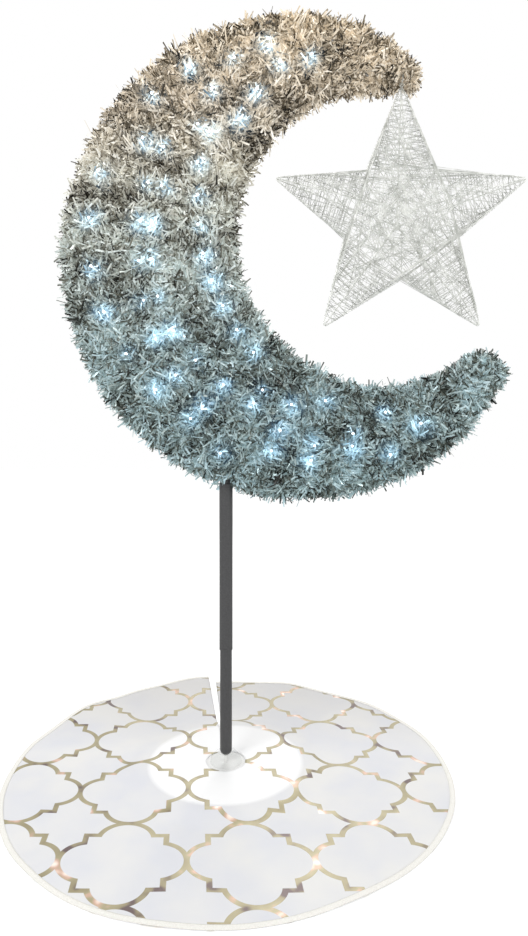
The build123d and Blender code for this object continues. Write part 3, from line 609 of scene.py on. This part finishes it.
# Star: wire wound both ways round each arm, and drawn from edge to edge over both faces
STAR_WIRE_D = 0.0014
WIRE_SEAT = 0.0024
ARM_LOOPS = 14
ARM_WIND_FROM = 0.022
ARM_WIND_TO = 0.178
WEB_TURNS = 10
WEB_FROM_R = 0.022
WEB_TO_R = 0.098
CROSSING_WIRES = 110
CHORD_STEPS = 25
CHORD_FROM_TIP = 0.03
STRAY = 0.002
half_step = pi / STAR_POINTS
notch_along = STAR_NOTCH_R * cos(half_step)
notch_aside = STAR_NOTCH_R * sin(half_step)
arm_slope = notch_aside / (STAR_R - notch_along)
arm_angles = [pi / 2 + 2 * half_step * arm for arm in range(STAR_POINTS)]


def skin_depth(x, z):
    """How far the star's faceted skin stands off its own plane: below 0 outside the outline."""
    angle = np.arctan2(z, x)
    off = abs((angle - pi / 2 + half_step) % (2 * half_step) - half_step)
    to_notch = hypot(x, z) * sin(off) / notch_aside
    to_tip = (hypot(x, z) * cos(off) - to_notch * notch_along) / STAR_R
    return STAR_DEPTH * (1 - to_notch - to_tip) + RIB_FOOT * to_tip


def wire_mesh(name, lines):
    """A mesh of thin wires along these lines of points."""
    curve = bpy.data.curves.new(name, "CURVE")
    curve.dimensions = "3D"
    curve.bevel_depth = STAR_WIRE_D / 2
    curve.bevel_resolution = 0
    for line in lines:
        spline = curve.splines.new("POLY")
        spline.points.add(len(line) - 1)
        for point, spot in zip(spline.points, line):
            point.co = (*spot, 1)
    holder = bpy.data.objects.new(name, curve)
    bpy.context.scene.collection.objects.link(holder)
    bpy.context.view_layer.update()
    mesh = bpy.data.meshes.new_from_object(holder.evaluated_get(bpy.context.evaluated_depsgraph_get()))
    bpy.data.objects.remove(holder)
    return mesh


def arm_winding(angle, hand):
    """A wire that goes round an arm's two edges and two ribs, from its tip to its root."""
    outward = np.array([cos(angle), 0, sin(angle)])
    sideways = np.array([-sin(angle), 0, cos(angle)]) * hand
    line = []
    corners = 4 * ARM_LOOPS
    for corner in range(corners + 1):
        from_tip = ARM_WIND_FROM + (ARM_WIND_TO - ARM_WIND_FROM) * corner / corners + rng.normal(0, STRAY)
        wide = from_tip * arm_slope + WIRE_SEAT
        deep = skin_depth(0, STAR_R - from_tip) + WIRE_SEAT
        around = [sideways * wide, TOWARDS_BACK * -deep, sideways * -wide, TOWARDS_BACK * deep][corner % 4]
        line.append(STAR + outward * (STAR_R - from_tip) + around)
    return line


for arm, angle in enumerate(arm_angles):
    name = f"star_winding_{arm + 1}"
    lines = [arm_winding(angle, hand) for hand in (-1, 1)]
    show(wire_mesh(f"wire_{name}", lines), f"wire_{name}", silver_wire, "star", "star_wire", name)


def taut(spots):
    """The spots at which a wire drawn taut over them touches them, as (place, depth) pairs."""
    kept = []
    for place, depth in spots:
        while len(kept) > 1:
            (place_0, depth_0), (place_1, depth_1) = kept[-2:]
            if (depth_1 - depth_0) * (place - place_0) >= (depth - depth_0) * (place_1 - place_0):
                break
            kept.pop()
        kept.append((place, depth))
    return kept


def edge_place():
    """A place on the outline of some arm, in the star's own plane."""
    angle = arm_angles[rng.integers(STAR_POINTS)]
    from_tip = rng.uniform(CHORD_FROM_TIP, STAR_R - notch_along)
    aside = rng.choice([-1, 1]) * from_tip * arm_slope
    along = STAR_R - from_tip
    return np.array([along * cos(angle) - aside * sin(angle), along * sin(angle) + aside * cos(angle)])


def crossing_wire(side):
    """A wire from edge to edge that stays within the outline, taut over the ribs of one face."""
    while True:
        start = edge_place()
        way = edge_place() - start
        depths = [skin_depth(*(start + way * place)) for place in np.linspace(0, 1, CHORD_STEPS)]
        if np.hypot(*way) > STAR_NOTCH_R and min(depths[1:-1]) > 0:
            break
    lift = WIRE_SEAT + rng.uniform(0, STRAY)
    line = []
    for place, depth in taut(zip(np.linspace(0, 1, CHORD_STEPS), depths)):
        x, z = start + way * place
        line.append(STAR + np.array([x, side * (depth + lift), z]))
    return line


def web(side):
    """A wire that goes round over the ribs of one face, from its middle outwards."""
    line = []
    corners = WEB_TURNS * STAR_POINTS
    for corner in range(corners + 1):
        radius = WEB_FROM_R + (WEB_TO_R - WEB_FROM_R) * corner / corners
        angle = arm_angles[corner % STAR_POINTS]
        depth = side * (skin_depth(0, radius) + WIRE_SEAT)
        line.append(STAR + np.array([radius * cos(angle), depth, radius * sin(angle)]))
    return line


for name, side in (("star_web_front", -1), ("star_web_back", 1)):
    lines = [web(side)] + [crossing_wire(side) for _ in range(CROSSING_WIRES)]
    show(wire_mesh(f"wire_{name}", lines), f"wire_{name}", silver_wire, "star", "star_wire", name)

# Skirt: a round cloth spun from one radial line, laid over the plate, with soft folds towards its edge
RADIAL_STEPS = 88
ROUND_STEPS = 440
EDGE_DRIFT = 0.021
SLIT_REACH = 45
FOLD_REACH = 3
SKIRT_RISE = 0.0001
SKIRT_FOLDS = [  # angle in degrees, width in degrees, height in metres, start radius
    (104, 16, 0.018, 0.2), (146, 12, 0.016, 0.24), (126, 7, 0.006, 0.26), (172, 10, 0.007, 0.25),
    (200, 12, 0.004, 0.24),
    (70, 8, 0.006, 0.26), (40, 9, 0.004, 0.28), (262, 10, 0.003, 0.2), (300, 9, 0.003, 0.2),
    (335, 12, 0.003, 0.26), (15, 10, 0.003, 0.26), (228, 8, 0.003, 0.26)]


def smooth(value):
    value = min(max(value, 0.0), 1.0)
    return value * value * (3 - 2 * value)


def cloth_height(x, y):
    """Height of the cloth's underside over the floor."""
    radius = hypot(x, y)
    angle = np.degrees(np.arctan2(y, x)) % 360
    lift = SHELF_Z * (1 - smooth((radius - PLATE_R) / SLOPE))
    slit = np.degrees(SLIT_ANGLE)
    for at, width, height, start in SKIRT_FOLDS:
        off = abs((angle - at + 180) % 360 - 180) / width
        over_the_slit = (angle - slit) * (at - slit) < 0 and abs(angle - slit) < SLIT_REACH
        if off < FOLD_REACH and not over_the_slit:
            lift += height * np.exp(-off * off) * smooth((radius - start) / (SKIRT_R - start))
    return lift


def spun_cloth(name, radii, rise):
    """A cloth ring spun from a radial line of points, open at the slit, and laid over what is under it."""
    bm = bmesh.new()
    start = SLIT_ANGLE + SLIT_SPREAD / 2
    line = [bm.verts.new((radius * cos(start), radius * sin(start), 0)) for radius in radii]
    edges = [bm.edges.new(pair) for pair in zip(line, line[1:])]
    bmesh.ops.spin(
        bm, geom=line + edges, cent=(0, 0, 0), axis=(0, 0, 1), angle=2 * pi - SLIT_SPREAD,
        steps=ROUND_STEPS)
    for vert in bm.verts:
        vert.co.z = cloth_height(vert.co.x, vert.co.y) + rise
        vert.co.x += EDGE_DRIFT * smooth((vert.co.x - PLATE_R) / (SKIRT_R - PLATE_R))
    bm.normal_update()
    if sum(face.normal.z for face in bm.faces) < 0:
        bmesh.ops.reverse_faces(bm, faces=bm.faces)
    for face in bm.faces:
        face.smooth = True
    mesh = bpy.data.meshes.new(name)
    bm.to_mesh(mesh)
    bm.free()
    return mesh


def thicken(piece, thickness):
    wall = piece.modifiers.new("cloth_thickness", "SOLIDIFY")
    wall.thickness = thickness
    wall.offset = 1


skirt_mesh = spun_cloth("printed_skirt", np.linspace(SKIRT_HOLE_R, SKIRT_R, RADIAL_STEPS + 1), SKIRT_RISE)
skirt = show(skirt_mesh, "printed_skirt", printed_cloth, "stand", "skirt_cloth", "skirt")
thicken(skirt, CLOTH_T)

HEM_W = 0.010
HEM_T = 0.0012
HEM_R = SKIRT_R + 0.0013
HEM_STEPS = 4
HEM_RISE = CLOTH_T + 0.0002
hem_mesh = spun_cloth("skirt_hem", np.linspace(HEM_R - HEM_W, HEM_R, HEM_STEPS + 1), HEM_RISE)
hem = show(hem_mesh, "skirt_hem", hem_tape, "stand", "hem_tape", "skirt_binding")
thicken(hem, HEM_T)

# Floor: pale and matt. Seen directly it is lifted to white, and it keeps the ornament's shadow.
FLOOR_HALF = 12
FLOOR_Z = -0.0003
FLOOR_LIFT = 0.45
floor_bm = bmesh.new()
bmesh.ops.create_grid(floor_bm, x_segments=1, y_segments=1, size=FLOOR_HALF)
bmesh.ops.translate(floor_bm, vec=(0, 0, FLOOR_Z), verts=floor_bm.verts)
floor_mesh = bpy.data.meshes.new("floor")
floor_bm.to_mesh(floor_mesh)
floor_bm.free()
floor = bpy.data.objects.new("floor", floor_mesh)
bpy.context.scene.collection.objects.link(floor)
pale_floor, tree, shader = finish_of(
    "pale_floor", Roughness=0.9, Base_Color=colour("#F4F4F4"), Emission_Color=(1, 1, 1, 1))
rays_seen = add(tree, "ShaderNodeLightPath")
lifted = add(
    tree, "ShaderNodeMath", {0: rays_seen.outputs["Is Camera Ray"], 1: FLOOR_LIFT}, operation="MULTIPLY")
tree.links.new(lifted.outputs["Value"], shader.inputs["Emission Strength"])
floor_mesh.materials.append(pale_floor)

# Light: a white room at a plain level, white where it is seen, with three soft lamps
ROOM_LIGHT = 0.62
ROOM_SEEN = 1.0
scene = bpy.context.scene
scene.view_settings.view_transform = "Standard"
world = bpy.data.worlds.new("white_room")
world.use_nodes = True
scene.world = world
tree = world.node_tree
rays_seen = add(tree, "ShaderNodeLightPath")
seen = add(
    tree, "ShaderNodeMath", {0: rays_seen.outputs["Is Camera Ray"], 1: rays_seen.outputs["Is Glossy Ray"]},
    operation="MAXIMUM")
seen_through = add(
    tree, "ShaderNodeMath", {0: seen.outputs["Value"], 1: rays_seen.outputs["Is Transmission Ray"]},
    operation="MAXIMUM")
level = add(
    tree, "ShaderNodeMapRange",
    {"To Min": ROOM_LIGHT, "To Max": ROOM_SEEN, "Value": seen_through.outputs["Value"]})
background = tree.nodes["Background"]
background.inputs["Color"].default_value = (1, 1, 1, 1)
tree.links.new(level.outputs["Result"], background.inputs["Strength"])

SOFT_LIGHTS = [  # name, place, aim, size, watts
    ("key_light", (-1.6, -2.6, 2.6), (0.15, 0, 0.9), 1.6, 55),
    ("fill_light", (2.4, -2.2, 1.6), (0.15, 0, 0.8), 1.8, 22),
    ("back_light", (0.2, 2.6, 2.4), (0.15, 0, 0.9), 1.6, 35)]
for name, at, aim, size, watts in SOFT_LIGHTS:
    lamp = bpy.data.lights.new(name, "AREA")
    lamp.size = size
    lamp.energy = watts
    light = bpy.data.objects.new(name, lamp)
    light.location = at
    light.rotation_euler = (Vector(aim) - Vector(at)).to_track_quat("-Z", "Y").to_euler()
    scene.collection.objects.link(light)

# Camera: level, at the photograph's distance, with its horizon a little above the picture's middle
PHOTO_H = 936
FOCAL_PX = 621
HORIZON_PX = 437
SENSOR = 36
CAMERA_AT = (0.0826, -1.35, 0.713)
camera_data = bpy.data.cameras.new("photo_camera")
camera_data.sensor_fit = "VERTICAL"
camera_data.sensor_height = SENSOR
camera_data.lens = FOCAL_PX / PHOTO_H * SENSOR
camera_data.shift_y = (HORIZON_PX - PHOTO_H / 2) / PHOTO_H
camera = bpy.data.objects.new("photo_camera", camera_data)
camera.location = CAMERA_AT
camera.rotation_euler = (pi / 2, 0, 0)
scene.collection.objects.link(camera)
scene.camera = camera
